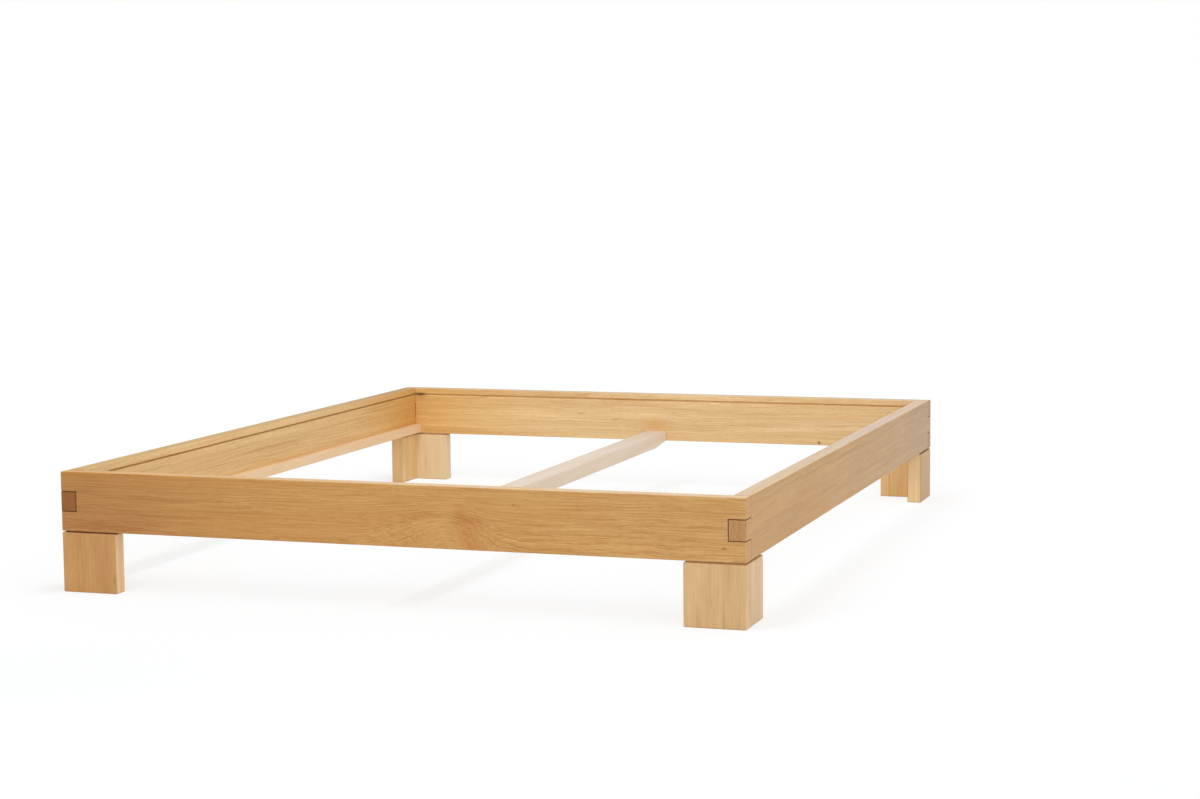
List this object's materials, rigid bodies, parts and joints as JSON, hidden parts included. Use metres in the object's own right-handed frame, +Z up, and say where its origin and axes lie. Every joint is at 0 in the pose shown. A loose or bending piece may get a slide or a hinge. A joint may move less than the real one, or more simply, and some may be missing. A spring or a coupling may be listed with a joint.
{
  "type": "low bed frame",
  "caption": "Low oak floor bed frame with finger-jointed rails, L-shaped corner legs, slat ledges and a centre beam, without slats or mattress.",
  "frame": {"origin": "on the floor, under the middle of the frame", "axes": "+X along the end rails from left to right as seen from the foot end, +Y from the foot end to the head end along the side rails, +Z up"},
  "size_m": [1.68, 2.08, 0.288],
  "materials": {
    "rail_oak": "oiled",
    "leg_oak": "oiled",
    "ledge_beech": "planed, unfinished",
    "beam_beech": "planed, unfinished",
    "tongue_beech": "planed, unfinished",
    "zinc_steel": "zinc plated",
    "insert_steel": "yellow zinc plated"
  },
  "bodies": {
    "root": {"centre_beam": "beam_beech", "foot_end_rail": "rail_oak", "foot_left_leg_end_board": "leg_oak", "foot_left_leg_side_board": "leg_oak", "foot_left_leg_tongue": "tongue_beech", "foot_right_leg_end_board": "leg_oak", "foot_right_leg_side_board": "leg_oak", "foot_right_leg_tongue": "tongue_beech", "head_end_rail": "rail_oak", "head_left_leg_end_board": "leg_oak", "head_left_leg_side_board": "leg_oak", "head_left_leg_tongue": "tongue_beech", "head_right_leg_end_board": "leg_oak", "head_right_leg_side_board": "leg_oak", "head_right_leg_tongue": "tongue_beech", "left_ledge": "ledge_beech", "left_side_rail": "rail_oak", "leg_bolt_inserts": "insert_steel", "leg_bolt_washers": "zinc_steel", "leg_bolts": "zinc_steel", "right_ledge": "ledge_beech", "right_side_rail": "rail_oak"}
  },
  "joints": []
}
